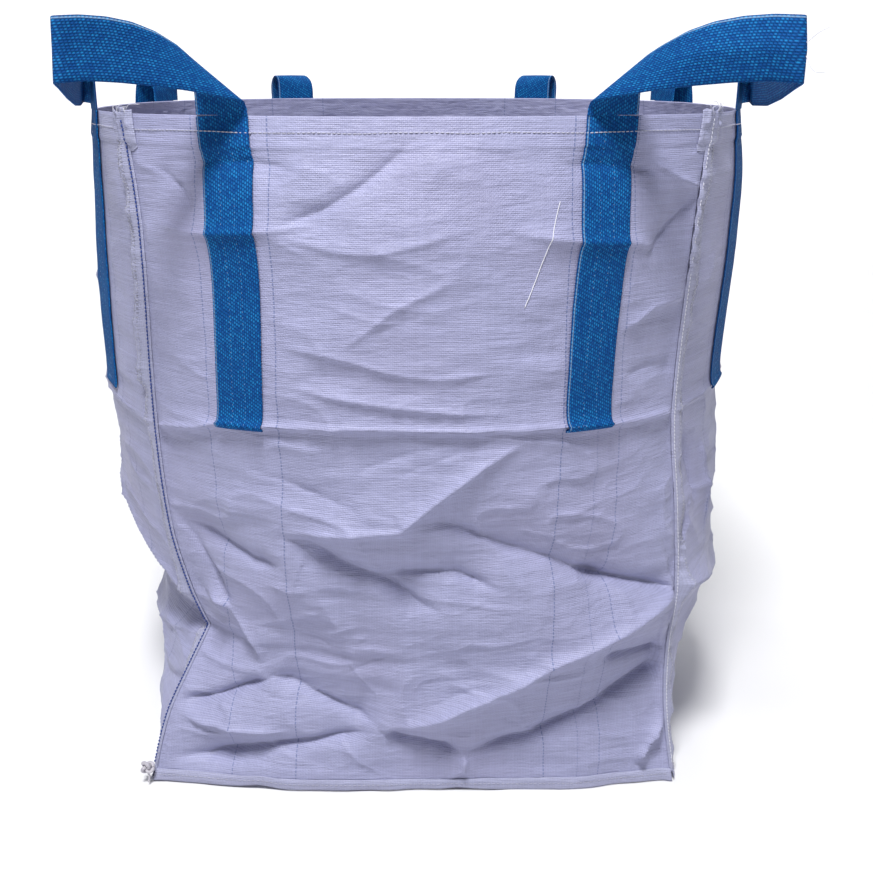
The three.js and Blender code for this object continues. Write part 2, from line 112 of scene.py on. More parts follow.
# Folds of the stiff cloth. Each is (height of the fold, reach above it, reach below it, route). A
# positive height is a ridge, a negative one a valley. A route is (share of the panel, height) points.
FOLD_DEPTH = {"front": 2.7, "right": 1.4, "back": 2.0, "left": 1.4}
FOLDS = {
    "front": [
        (.0045, .016, .007, [(0, .602), (.09, .615), (.14, .629), (.24, .634), (.40, .640), (.62, .637),
            (.79, .635), (.88, .626), (1, .622)]),
        (-.006, .030, .022, [(.01, .47), (.065, .376), (.10, .290), (.135, .205)]),
        (.010, .045, .030, [(.03, .33), (.09, .31), (.145, .215)]),
        (-.013, .070, .028, [(.135, .203), (.22, .183), (.33, .150), (.44, .118)]),
        (.012, .040, .060, [(.40, .105), (.44, .122), (.52, .148), (.61, .190), (.74, .254), (.85, .292),
            (.93, .318), (1, .340)]),
        (-.008, .040, .030, [(.02, .449), (.10, .431), (.17, .409), (.24, .405)]),
        (-.010, .030, .045, [(.23, .464), (.29, .451), (.34, .421), (.417, .397), (.47, .363),
            (.53, .340)]),
        (-.009, .035, .030, [(.40, .392), (.48, .408), (.56, .408), (.65, .378)]),
        (-.010, .020, .022, [(.005, .130), (.08, .146), (.125, .168), (.18, .190)]),
        (.006, .018, .016, [(.005, .118), (.08, .109), (.16, .105), (.25, .105)]),
        (-.012, .040, .022, [(.02, .040), (.10, .044), (.21, .071), (.32, .089), (.40, .106), (.44, .117)]),
        (-.010, .030, .022, [(.42, .119), (.47, .100), (.53, .088), (.60, .071)]),
        (-.012, .040, .024, [(.58, .066), (.73, .098), (.86, .146), (.95, .179), (1, .192)]),
        (.0045, .022, .018, [(.60, .075), (.595, .040), (.56, .014)]),
        (-.009, .045, .035, [(.92, .352), (.85, .374), (.74, .426), (.66, .450), (.56, .491), (.47, .504)]),
        (.009, .040, .050, [(.72, .625), (.62, .585), (.54, .537), (.465, .488), (.37, .480), (.22, .466)]),
        (.0075, .014, .016, [(1, .110), (.965, .077), (.93, .035)]),
        (-.007, .016, .016, [(1, .228), (.91, .234), (.84, .243)]),
        (-.010, .020, .016, [(1, .331), (.92, .360), (.85, .379), (.79, .402)]),
        (.0042, .060, .032, [(.03, .905), (.12, .898), (.17, .900), (.22, .903), (.33, .915)]),
        (-.0032, .032, .040, [(.07, .990), (.18, .992), (.31, .988)]),
        (.0042, .060, .032, [(.66, .905), (.80, .889), (.86, .886), (.96, .870)]),
        (-.0032, .032, .040, [(.72, .990), (.84, .987), (.95, .975)]),
        (-.0034, .016, .030, [(.241, .906), (.35, .939), (.433, .980), (.504, 1.03)]),
        (.0024, .050, .020, [(.241, .906), (.359, .883), (.446, .882), (.603, .915)]),
        (.0026, .040, .014, [(.234, .753), (.358, .741), (.51, .712), (.677, .721)]),
        (.0026, .020, .010, [(.256, .699), (.389, .680), (.542, .665), (.681, .659)]),
        (.0022, .030, .025, [(.358, .741), (.462, .807), (.584, .853)]),
        (-.0030, .020, .020, [(.047, .982), (.087, .961), (.114, .922)]),
        (.0034, .018, .012, [(1, .950), (.95, .965), (.89, .992)]),
        (-.0040, .018, .024, [(1, .935), (.95, .905), (.90, .860)]),
        (.0030, .030, .016, [(.87, .760), (.93, .790), (1, .800)]),
        (-.0020, .020, .016, [(.88, .690), (.94, .700), (1, .690)]),
    ],
    "left": [
        (.0045, .016, .007, [(0, .640), (.4, .632), (.7, .620), (1, .602)]),
        (.012, .050, .030, [(.35, .470), (.60, .455), (.80, .400), (1, .300)]),
        (-.014, .040, .040, [(.40, .360), (.65, .330), (.85, .290), (1, .245)]),
        (.010, .045, .030, [(.45, .200), (.70, .180), (1, .230)]),
        (-.010, .030, .030, [(.30, .120), (.60, .130), (.85, .115), (1, .150)]),
        (.004, .045, .045, [(.25, .800), (.55, .770), (.85, .800)]),
        (-.007, .040, .040, [(.20, .560), (.50, .540), (.80, .520)]),
    ],
    "right": [
        (.0045, .016, .007, [(0, .622), (.3, .634), (.7, .628), (1, .640)]),
        (.021, .075, .085, [(0, .340), (.08, .322), (.17, .300), (.30, .296), (.45, .320)]),
        (-.005, .030, .040, [(0, .225), (.10, .190), (.22, .165), (.40, .180)]),
        (-.008, .016, .014, [(.03, .600), (.06, .520), (.07, .440)]),
        (.008, .018, .018, [(.10, .560), (.12, .470), (.13, .380)]),
        (.010, .040, .030, [(.12, .130), (.40, .150), (.75, .120)]),
        (-.008, .040, .040, [(.30, .460), (.55, .420), (.85, .450)]),
        (.007, .040, .040, [(.25, .830), (.55, .800), (.80, .840)]),
    ],
    "back": [
        (.0045, .016, .007, [(0, .640), (.35, .632), (.6, .638), (1, .640)]),
        (.012, .050, .030, [(0, .300), (.20, .260), (.42, .180), (.60, .150)]),
        (-.012, .040, .040, [(.10, .420), (.35, .360), (.60, .330), (.85, .390)]),
        (.011, .045, .030, [(1, .340), (.85, .290), (.60, .230), (.45, .190)]),
        (-.012, .030, .024, [(.05, .050), (.30, .090), (.50, .120), (.75, .080), (.95, .040)]),
        (.008, .040, .050, [(.20, .560), (.50, .500), (.80, .570)]),
        (-.008, .050, .050, [(.20, .760), (.55, .720), (.85, .780)]),
    ],
}


# ---------------------------------------------------------------- curves and random fields
def along(rows, z, column=1):
    """Smooth curve through (height, value, ...) rows."""
    table = np.array(rows, float)
    knots, values = table[:, 0], table[:, column]
    last = len(knots) - 1
    after = np.minimum(np.arange(1, last + 2), last)
    before = np.maximum(np.arange(-1, last), 0)
    slopes = (values[after] - values[before]) / (knots[after] - knots[before])
    i = np.clip(np.searchsorted(knots, z) - 1, 0, last - 1)
    step = knots[i + 1] - knots[i]
    t = np.clip((z - knots[i]) / step, 0, 1)
    rise = values[i + 1] - values[i]
    bend = slopes[i] * step - rise
    unbend = rise - slopes[i + 1] * step
    return values[i] + t * rise + t * (1 - t) * (bend * (1 - t) + unbend * t)


def smooth(x, low=0.0, high=1.0):
    t = np.clip((x - low) / (high - low), 0, 1)
    return t * t * (3 - 2 * t)


def unit(v):
    return v / np.maximum(np.linalg.norm(v, axis=-1, keepdims=True), 1e-9)


def grid(*columns):
    """Numbers of matching shapes, put side by side on a last axis."""
    return np.stack(np.broadcast_arrays(*columns), axis=-1)


def distances(points):
    """How far along the way through all the points each one lies."""
    return np.insert(np.cumsum(np.linalg.norm(np.diff(points, axis=0), axis=1)), 0, 0)


def spline(rows, count):
    """A smooth curve through points, resampled evenly by its length."""
    rows = np.asarray(rows, float)
    walked = distances(rows)
    even = np.linspace(0, walked[-1], count)
    return grid(*(along(grid(walked, column), even) for column in rows.T))


def ripple(x, z, cell_x, cell_z, seed):
    """Smooth random field between -1 and 1, with cells of the given size."""
    cells, shift_x, shift_z = 64, 11.3, 7.7
    lattice = np.random.default_rng(seed).uniform(-1, 1, (cells, cells))
    gx, gz = x / cell_x + shift_x, z / cell_z + shift_z
    ix, iz = np.floor(gx).astype(int), np.floor(gz).astype(int)
    fx, fz = smooth(gx - ix), smooth(gz - iz)
    at = lambda a, b: lattice[(ix + a) % cells, (iz + b) % cells]
    low = at(0, 0) * (1 - fx) + at(1, 0) * fx
    high = at(0, 1) * (1 - fx) + at(1, 1) * fx
    return low * (1 - fz) + high * fz


def wave(x, cell, seed):
    """The same random field along one line."""
    return ripple(x, x * 0, cell, 1, seed)


# ---------------------------------------------------------------- the bag's surface
def small_creases(side):
    """Short straight creases, more and deeper ones in the lower part of a side."""
    rng = np.random.default_rng(400 + list(SIDES).index(side))
    creases = []
    for _ in range(40):
        height = 0.06 + 0.90 * rng.random() ** 1.7
        middle = rng.uniform(0.12, 0.88)
        reach = rng.uniform(0.03, 0.085)
        lean = rng.normal(0, 0.45)
        depth = rng.choice([-1, 1]) * rng.uniform(0.4, 1) * (0.0014 if height < 0.62 else 0.0010)
        bend = rng.normal(0, 0.006)
        above, below = rng.uniform(0.008, 0.022), rng.uniform(0.006, 0.016)
        start, end = [(middle + way * reach / PANEL_WIDTH, height + way * reach * lean) for way in (-1, 1)]
        creases.append((depth, above, below, [start, (middle, height + bend), end]))
    return creases


CREASES = {side: small_creases(side) for side in SIDES}


def sewn_down(share, z):
    """1 where the webbing is sewn onto the cloth and keeps it smooth, 0 away from it."""
    off = np.abs(np.minimum(share, 1 - share) - LEG_PLACE) * PANEL_WIDTH
    return (1 - smooth(off, WEB_WIDTH / 2, 0.062)) * smooth(z, LEG_FOOT - 0.02, LEG_FOOT + 0.01)


def fold_height(side, share, z):
    """How far the folds move the cloth outwards."""
    x = share * PANEL_WIDTH
    total = np.zeros_like(x)
    free = 1 - sewn_down(share, z)
    for height, above, below, route in FOLDS[side] + CREASES[side]:
        points = [(a * PANEL_WIDTH, b) for a, b in route]
        is_long_and_high = len(route) > 3 and route[0][1] > 0.65
        if is_long_and_high:
            points = spline(points, 4 * len(route) - 3)
        lengths = [math.dist(a, b) for a, b in zip(points, points[1:])]
        nearest = np.full_like(x, np.inf)
        signed, place = np.zeros_like(x), np.zeros_like(x)
        walked = 0.0
        for (ax, az), (bx, bz), length in zip(points, points[1:], lengths):
            dx, dz = (bx - ax) / length, (bz - az) / length
            t = np.clip((x - ax) * dx + (z - az) * dz, 0, length)
            ox, oz = x - ax - t * dx, z - az - t * dz
            far = np.hypot(ox, oz)
            closer = far < nearest
            nearest = np.where(closer, far, nearest)
            upward = oz if abs(dx) > 0.2 else ox
            signed = np.where(closer, np.where(upward >= 0, far, -far), signed)
            place = np.where(closer, (walked + t) / sum(lengths), place)
            walked += length
        # A fold has its full depth right from a corner seam, and fades out at an end in the cloth.
        fade_in, fade_out = [0.01 if end[0] in (0, 1) else 0.25 for end in (route[0], route[-1])]
        taper = smooth(place, 0, fade_in) * smooth(1 - place, 0, fade_out)
        blunt, sharp_part = (0.0010, 0.38) if height > 0 else (0.0030, 0.26)
        crisp = (np.sqrt(signed ** 2 + blunt ** 2) - blunt) / np.where(signed >= 0, above, below)
        shape = (1 - sharp_part) * np.exp(-crisp / 0.9) + sharp_part * np.exp(-crisp / 0.17)
        depth = FOLD_DEPTH[side] * height * (0.25 + 0.75 * taper) * taper ** 0.3
        is_small = abs(height) < 0.0015
        total += depth * shape * (free if is_small else 1)
    return total


def cloth_relief(side, share, z):
    """Folds, broad waves and small crumples of a side, outwards."""
    seed = 10 * list(SIDES).index(side)
    x = share * PANEL_WIDTH
    lower = 1 - smooth(z, 0.45, 0.75)
    broad = fold_height(side, share, z) + 0.0035 * ripple(x, z, 0.23, 0.13, seed + 1)
    relief = (0.0022 + 0.0016 * lower) * ripple(x + 0.3 * z, z, 0.11, 0.035, seed + 2)
    relief += 0.0005 * ripple(x - 0.5 * z, z, 0.035, 0.014, seed + 3)
    crumple = 1 - abs(ripple(x + 0.2 * z, z + 0.15 * x, 0.10, 0.055, seed + 4))
    relief += (0.0024 + 0.0022 * lower) * (crumple ** 4 - 0.3)
    crinkle = 1 - abs(ripple(x - 0.3 * z, z - 0.25 * x, 0.055, 0.024, seed + 7))
    relief += (0.0006 + 0.0004 * lower) * (crinkle ** 5 - 0.25)
    patches = 0.6 + 0.8 * ripple(x, z, 0.16, 0.12, seed + 10)
    relief += 0.0004 * patches * ripple(x + 0.1 * z, z, 0.060, 0.0065, seed + 9)
    relief += 0.0010 * patches * ripple(x - 0.2 * z, z, 0.075, 0.018, seed + 11)
    relief = broad + relief * (1 - 0.9 * sewn_down(share, z))
    at_seam = smooth(np.minimum(share, 1 - share), 0, 0.018)
    at_foot = smooth(z, 0.004, 0.05)
    at_rim = 0.35 + 0.65 * (1 - smooth(z, RIM - 0.06, RIM - 0.01))
    foot_wave = 0.006 * wave(x, 0.12, seed + 5) * (1 - smooth(z, 0.02, 0.12))
    edge = z + 0.0022 * wave(x, 0.05, seed + 6)
    hem = 0.0016 * smooth(edge, RIM - HEM - 0.0016, RIM - HEM + 0.0008)
    below_hem = np.exp(-np.maximum(RIM - HEM / 2 - z, 0) / 0.022) * (z < RIM - HEM / 2 + 0.001)
    hem += 0.0012 * below_hem * ripple(x + 0.3 * z, z, 0.016, 0.05, seed + 8)
    return (relief * at_foot * at_rim + foot_wave) * at_seam + hem


def corner_at(name, z):
    """The x and y of a corner line at a height."""
    return grid(along(CORNERS[name], z, 1), along(CORNERS[name], z, 2))


def base_surface(side, share, z):
    """Outer surface of a side without its folds, and its level outward direction, in x and y."""
    start, end = [corner_at(name, z) for name in SIDES[side]]
    length = np.linalg.norm(end - start, axis=-1)
    across = (end - start) / length[..., None]
    outwards = grid(across[..., 1], -across[..., 0])
    lean = 2 * share - 1
    swell = along(BULGE, z)
    out = swell * (1 - abs(lean) ** BULGE_POWER)
    slope = -swell * BULGE_POWER * abs(lean) ** (BULGE_POWER - 1) * np.sign(lean) * 2 / length
    tangent = unit(across + outwards * slope[..., None])
    points = start + (end - start) * share[..., None] + outwards * out[..., None]
    return points, grid(tangent[..., 1], -tangent[..., 0])


def cloth_place(side, share, z):
    """Distance across the uncut cloth, of which the corner seams take up more or less along their way."""
    straight, taken = 0.9, 0.97
    marks = [corner_at(name, straight) for name in SIDES[side]]
    across = unit(marks[1] - marks[0])
    start, end = [(corner_at(name, z) - mark) @ across for name, mark in zip(SIDES[side], marks)]
    return share * PANEL_WIDTH + (start * (1 - share) + end * share) * taken


def foot_lift(side, share):
    """How far the foot of a side is lifted off the floor by the folds that run into it."""
    places = ((0.205, 0.030, 0.005), (0.585, 0.022, 0.003)) if side == "front" else ((0.36, 0.03, 0.005),)
    return sum(height * np.exp(-((share - place) / width) ** 2) for place, width, height in places)


def on_bag(side, share, z, out=0.0):
    """Points on a side, moved outwards by a distance, as an array of x, y, z."""
    share, z = np.broadcast_arrays(np.asarray(share, float), np.asarray(z, float))
    level = np.minimum(z, RIM)
    points, normals = base_surface(side, share, level)
    lift = cloth_relief(side, share, level) + out
    return np.concatenate([points + normals * lift[..., None], z[..., None]], axis=-1)


def outward(side, share, z):
    """Outward normals of the folded cloth."""
    near = 0.003
    across = on_bag(side, share + near, z) - on_bag(side, share - near, z)
    high, low = np.minimum(z + near, RIM), np.minimum(z, RIM - near) - near
    up = on_bag(side, share, high) - on_bag(side, share, low)
    return unit(np.cross(across, up))


# ---------------------------------------------------------------- mesh helpers
def add_object(name, vertices, faces, material, uvs=None, body="bag"):
    mesh = bpy.data.meshes.new(name)
    mesh.from_pydata(np.reshape(vertices, (-1, 3)).tolist(), [], faces)
    mesh.update()
    if uvs is not None:
        corners = np.empty(len(mesh.loops), dtype=np.int32)
        mesh.loops.foreach_get("vertex_index", corners)
        layer = mesh.uv_layers.new(name="UVMap")
        layer.data.foreach_set("uv", np.reshape(uvs, (-1, 2)).astype(np.float32)[corners].ravel())
    mesh.polygons.foreach_set("use_smooth", [True] * len(mesh.polygons))
    mesh.materials.append(material)
    piece = bpy.data.objects.new(name, mesh)
    scene.collection.objects.link(piece)
    if body:
        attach(piece, body)
    return piece


def grid_faces(rows, columns, joined=False, capped=(False, False)):
    """Faces of a grid, joined across its last column or capped at its first and last row if asked."""
    r, c = np.meshgrid(np.arange(rows - 1), np.arange(columns if joined else columns - 1), indexing="ij")
    a, b = r * columns + c, r * columns + (c + 1) % columns
    faces = grid(a, b, b + columns, a + columns).reshape(-1, 4).tolist()
    if capped[0]:
        faces.append(list(range(columns))[::-1])
    if capped[1]:
        faces.append(list(range((rows - 1) * columns, rows * columns)))
    return faces


def add_grid(name, points, material, uvs, thickness):
    piece = add_object(name, points, grid_faces(*points.shape[:2]), material, uvs)
    solid = piece.modifiers.new("thickness", "SOLIDIFY")
    solid.thickness = thickness
    solid.offset = 0
    return piece


def band(name, highs, lows, start=0.0, crown=0.0, capped=(False, False), dent=0.0, body="bag"):
    """A band of webbing with rounded edges between the two curves that its edges follow.

    A dent bends the band along its middle line, by one distance for each pair of edge points.
    """
    centres, reach = (highs + lows) / 2, (lows - highs) / 2
    normals = unit(np.cross(unit(np.gradient(centres, axis=0)), reach))
    thick = WEB / 2
    lip = thick / (WEB_WIDTH / 2)
    flat = [(s * (1 - lip * 0.6), thick * (1 + crown * (1 - s * s))) for s in np.linspace(-1, 1, 11)]
    edge = [(1, thick * 0.45), (1, -thick * 0.45)]
    section = flat + edge + [(-a, -b) for a, b in flat + edge]
    bent = normals * np.broadcast_to(dent, len(centres))[:, None]
    points = np.stack([centres + reach * a + normals * b + bent * (1 - abs(a)) for a, b in section], axis=1)
    share = np.array([(a + 1) / 2 for a, _ in section])
    walked = start + distances(highs)[:, None] * (1 - share) + distances(lows)[:, None] * share
    faces = grid_faces(len(centres), len(section), True, capped)
    return add_object(name, points, faces, webbing, grid(share * WEB_WIDTH, walked), body)


def tube(name, points, radius, material, sides=8, body="bag"):
    """A round thread or cord through points, with rounded ends."""
    points = np.asarray(points, float)
    tangents = unit(np.gradient(points, axis=0))
    normal = np.cross(tangents[0], [0.31, 0.17, 0.93])
    turns = np.linspace(0, 2 * math.pi, sides, endpoint=False)
    sizes = np.full(len(points), radius)
    sizes[[0, -1]] *= 0.45
    rings = []
    for point, tangent, size in zip(points, tangents, sizes):
        normal = unit(normal - np.dot(normal, tangent) * tangent)
        side = np.cross(tangent, normal)
        rings.append(point + size * (np.outer(np.cos(turns), normal) + np.outer(np.sin(turns), side)))
    uvs = grid(turns * radius * 3 / math.pi, distances(points)[:, None])
    return add_object(name, rings, grid_faces(len(points), sides, True, (True, True)), material, uvs, body)


def stitch_row(name, points, normals, material, pitch, share=0.72, radius=0.00055, seed=1):
    """Separate sewn stitches along a line, each a small plump thread that dips in at both ends."""
    walked = distances(points)
    rng = np.random.default_rng(seed)
    steps, sides = 5, 5
    turns = np.linspace(0, 2 * math.pi, sides, endpoint=False)[:, None]
    rise = np.sin(np.linspace(0, math.pi, steps))[:, None]
    size = radius * (0.45 + 0.55 * rise)
    at = lambda s, values: grid(*(np.interp(s, walked, column) for column in values.T))
    one = grid_faces(steps, sides, True, (True, True))
    vertices, faces, uvs = [], [], []
    for k in range(max(int(walked[-1] / pitch), 1)):
        start = k * pitch + rng.uniform(-0.06, 0.06) * pitch
        s = np.linspace(start, start + pitch * share, steps)
        normal = unit(at(s, normals))
        centre = at(s, points) + normal * radius * (rise * 1.1 - 0.35)
        tangent = unit(np.gradient(centre, axis=0))
        side = unit(np.cross(tangent, normal))
        up = np.cross(side, tangent)
        ring = np.cos(turns) * up[:, None] + np.sin(turns) * side[:, None] * 1.15
        vertices.append(centre[:, None] + size[:, None] * ring)
        uvs.append(grid(s[:, None], turns[:, 0] * radius))
        faces += [[k * steps * sides + i for i in face] for face in one]
    return add_object(name, vertices, faces, material, uvs)


# ---------------------------------------------------------------- materials
class Nodes:
    """A material whose shader nodes are added and linked in short calls."""

    def __init__(self, name, colour, roughness, specular=0.5, sheen=0.0):
        self.material = bpy.data.materials.new(name)
        self.material.use_nodes = True
        self.inputs = self.material.node_tree.nodes["Principled BSDF"].inputs
        self.inputs["Base Color"].default_value = (*colour, 1)
        self.inputs["Roughness"].default_value = roughness
        self.inputs["Specular IOR Level"].default_value = specular
        self.inputs["Sheen Weight"].default_value = sheen

    def put(self, value, socket):
        """Links a node's output to a socket, or sets the socket to a number or a colour."""
        if isinstance(value, bpy.types.NodeSocket):
            self.material.node_tree.links.new(value, socket)
        else:
            socket.default_value = (*value, 1) if isinstance(value, tuple) else value

    def add(self, kind, inputs=(), **settings):
        """Adds a node with settings and with (socket, value) inputs."""
        node = self.material.node_tree.nodes.new(kind)
        for key, value in settings.items():
            setattr(node, key, value)
        for socket, value in inputs:
            self.put(value, node.inputs[socket])
        return node

    def math(self, operation, *values):
        return self.add("ShaderNodeMath", enumerate(values), operation=operation).outputs[0]

    def plus(self, *values):
        return functools.reduce(lambda a, b: self.math("ADD", a, b), values)

    def times(self, *values):
        return functools.reduce(lambda a, b: self.math("MULTIPLY", a, b), values)

    def uv_map(self):
        """The UVs, and their x and y."""
        uv = self.add("ShaderNodeUVMap").outputs["UV"]
        split = self.add("ShaderNodeSeparateXYZ", [(0, uv)])
        return uv, split.outputs[0], split.outputs[1]

    def noise(self, place, scale, detail=3.0, stretch=(1, 1, 1)):
        mapping = self.add("ShaderNodeMapping", [("Vector", place)])
        mapping.inputs["Scale"].default_value = stretch
        inputs = ("Scale", scale), ("Detail", detail), ("Vector", mapping.outputs[0])
        return self.add("ShaderNodeTexNoise", inputs).outputs["Fac"]

    def chance(self, value, socket="W", dimensions="1D"):
        """A random number for each whole value."""
        node = self.add("ShaderNodeTexWhiteNoise", [(socket, value)], noise_dimensions=dimensions)
        return node.outputs["Value"]

    def ramp(self, value, *stops):
        node = self.add("ShaderNodeValToRGB", [("Fac", value)])
        for element, (place, shade) in zip(node.color_ramp.elements, stops):
            element.position = place
            element.color = (shade, shade, shade, 1)
        return node.outputs["Color"]

    def mix(self, factor, a, b):
        return self.add("ShaderNodeMix", [(0, factor), (6, a), (7, b)], data_type="RGBA").outputs[2]

    def colour(self, value):
        self.put(value, self.inputs["Base Color"])

    def bump(self, height, distance, strength, *after):
        """Raises the surface by a height, on top of an earlier bump if there is one."""
        inputs = [("Distance", distance), ("Strength", strength), ("Height", height)]
        node = self.add("ShaderNodeBump", inputs + [("Normal", earlier) for earlier in after])
        self.put(node.outputs[0], self.inputs["Normal"])
        return node.outputs[0]


def woven_cloth(name, colour, yarns=()):
    """Woven polypropylene tape. UVs are metres: x across the panel, y up it."""
    n = Nodes(name, colour, 0.48, specular=0.42, sheen=0.05)
    uv, x, y = n.uv_map()
    tapes_x, tapes_y = n.math("DIVIDE", x, WARP_PITCH), n.math("DIVIDE", y, WEFT_PITCH)
    wave_x, wave_y = [n.math("SINE", n.times(tapes, math.pi)) for tapes in (tapes_x, tapes_y)]
    warp, weft = n.math("ABSOLUTE", wave_x), n.math("ABSOLUTE", wave_y)
    weave = n.plus(n.times(n.math("SQRT", weft), 0.9), n.times(n.math("SQRT", warp), 0.35),
                   n.times(wave_x, wave_y, 0.25))
    slub = n.noise(uv, 1.0, 4, (34, 260, 1))
    crinkle = n.noise(uv, 1.0, 5, (36, 62, 1))
    stain = n.ramp(n.noise(uv, 3.2), (0.46, 0.0), (0.75, 0.32))
    shade = n.plus(n.times(n.chance(n.math("FLOOR", tapes_y)), 0.45),
                   n.times(n.chance(n.math("FLOOR", tapes_x)), 0.2), n.times(slub, 0.6))
    dark, light, hole = [tuple(min(c * part, 0.95) for c in colour) for part in (0.80, 1.10, 0.45)]
    warm = (colour[0] * 0.93, colour[1] * 0.84, colour[2] * 0.84)
    tinted = n.mix(stain, n.mix(n.times(shade, 0.75), dark, light), warm)
    covered = n.math("POWER", n.times(weft, warp), 0.25)
    surface = n.mix(n.times(n.math("SUBTRACT", 1, covered), 0.55), tinted, hole)
    drift = n.times(n.math("SUBTRACT", n.noise(uv, 5.0, 1), 0.5), 0.006)
    dash = n.math("GREATER_THAN", n.math("FRACT", n.math("DIVIDE", y, 0.0062)), 0.28)
    for share, strength in yarns:
        away = n.math("ABSOLUTE", n.math("SUBTRACT", n.plus(x, drift), share * PANEL_WIDTH))
        on_line = n.math("SUBTRACT", 1, n.math("SMOOTH_MIN", n.math("DIVIDE", away, 0.0015), 1, 0.2))
        surface = n.mix(n.times(on_line, dash, strength), surface, (0.10, 0.13, 0.28))
    n.colour(surface)
    fine = n.bump(weave, 0.0006, 0.85)
    n.bump(n.plus(n.times(slub, 0.6), crinkle), 0.0030, 0.80, fine)
    return n.material


def blue_webbing():
    """Twill lifting webbing. UVs are metres: x across the strap, y along it."""
    n = Nodes("webbing", (0.03, 0.16, 0.45), 0.74, specular=0.12)
    uv, x, y = n.uv_map()
    columns = n.math("DIVIDE", x, 0.0034)
    column = n.math("FLOOR", columns)
    rows = n.plus(n.math("DIVIDE", y, 0.0052), n.times(column, 0.36))
    in_column, in_row = [n.times(n.math("FRACT", cells), math.pi) for cells in (columns, rows)]
    fleck = n.times(n.math("SINE", in_column), n.math("SINE", in_row))
    cell = n.add("ShaderNodeCombineXYZ", [(0, column), (1, n.math("FLOOR", rows))]).outputs[0]
    fuzz = n.noise(uv, 1.0, 5, (420, 260, 1))
    patch = n.noise(uv, 1.0, 3, (30, 16, 1))
    dark, middle, light = (0.0010, 0.026, 0.115), (0.0015, 0.078, 0.300), (0.014, 0.235, 0.540)
    base = n.mix(n.times(n.plus(fleck, fuzz), 0.55), dark, middle)
    strong = n.times(n.math("POWER", fleck, 1.6), n.math("POWER", n.chance(cell, "Vector", "2D"), 1.2))
    flecked = n.mix(n.times(strong, n.plus(patch, 0.45)), base, light)
    selvage = n.math("LESS_THAN", n.math("ABSOLUTE", n.math("SUBTRACT", x, 0.0025)), 0.0009)
    n.colour(n.mix(n.times(selvage, 0.40), flecked, (0.30, 0.45, 0.58)))
    n.bump(n.plus(fleck, n.times(fuzz, 0.4)), 0.0008, 0.9)
    return n.material


def thread(name, colour, dark):
    """Twisted yarn."""
    n = Nodes(name, colour, 0.55)
    where = n.add("ShaderNodeTexCoord").outputs["Object"]
    ply = n.add("ShaderNodeTexWave", [("Vector", where), ("Scale", 380), ("Distortion", 1.5)],
                wave_type="BANDS", bands_direction="DIAGONAL").outputs["Fac"]
    n.colour(n.mix(n.times(n.plus(ply, n.noise(where, 60)), 0.5), dark, colour))
    n.bump(ply, 0.0003, 0.6)
    return n.material


def plain_floor():
    n = Nodes("floor", (0.78, 0.78, 0.79), 0.7)
    where = n.add("ShaderNodeTexCoord").outputs["Object"]
    n.colour(n.mix(n.noise(where, 0.8, 2), (0.76, 0.76, 0.77), (0.80, 0.80, 0.81)))
    return n.material


CLOTH_COLOUR = (0.352, 0.360, 0.556)
# The marker yarns as (share of the panel, strength).
FRONT_YARNS = (0.118, 0.9), (0.252, 1.0), (0.758, 1.0), (0.828, 0.45), (0.872, 0.8)
SIDE_YARNS = (0.118, 0.8), (0.252, 0.8), (0.748, 0.8), (0.882, 0.8)
front_cloth = woven_cloth("panel_cloth_front", CLOTH_COLOUR, FRONT_YARNS)
side_cloth = woven_cloth("panel_cloth_side", CLOTH_COLOUR, SIDE_YARNS)
seam_cloth = woven_cloth("seam_cloth", (0.38, 0.39, 0.56))
webbing = blue_webbing()
white_thread = thread("white_thread", (0.80, 0.80, 0.86), (0.55, 0.55, 0.62))
hem_thread = thread("hem_thread", (0.50, 0.50, 0.60), (0.36, 0.36, 0.46))
leg_thread = thread("leg_thread", (0.26, 0.42, 0.62), (0.16, 0.30, 0.50))
blue_thread = thread("blue_thread", (0.020, 0.060, 0.300), (0.006, 0.020, 0.120))
cord_fibre = thread("cord_fibre", (0.76, 0.74, 0.78), (0.20, 0.18, 0.24))


# ---------------------------------------------------------------- panels
def panel(side):
    """A side panel, from the base seam up, over the rim and down inside as the turned hem."""
    columns, rows = (300, 380) if side == "front" else (220, 280)
    foot, turned = 0.0035, 0.0012
    heights = np.linspace(foot, RIM - turned, rows)
    turn = np.linspace(0, math.pi, 7)
    inner = np.linspace(RIM - 2 * turned, RIM - HEM, 16)
    levels = np.concatenate([heights, RIM - turned + turned * np.sin(turn), inner])
    out = np.concatenate([np.zeros(rows), turned * np.cos(turn) - turned, np.full(len(inner), -2 * turned)])
    walked = np.concatenate([heights, RIM + turned * turn / math.pi, 2 * RIM - inner])
    share, z = np.meshgrid(np.linspace(0, 1, columns), levels)
    down = np.where(np.arange(len(levels))[:, None] < rows + len(turn), 0, (RIM - z) / HEM)
    z = z + 0.0015 * wave(share * PANEL_WIDTH, 0.03, 77) * down
    points = on_bag(side, share, z, out[:, None])
    points[..., 2] += foot_lift(side, share) * (1 - smooth(z, 0, 0.09))
    uvs = grid(cloth_place(side, share, np.minimum(z, RIM)), walked[:, None])
    piece = add_grid(f"panel_{side}", points, front_cloth if side == "front" else side_cloth, uvs, CLOTH)
    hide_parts(f"{side}_panel")


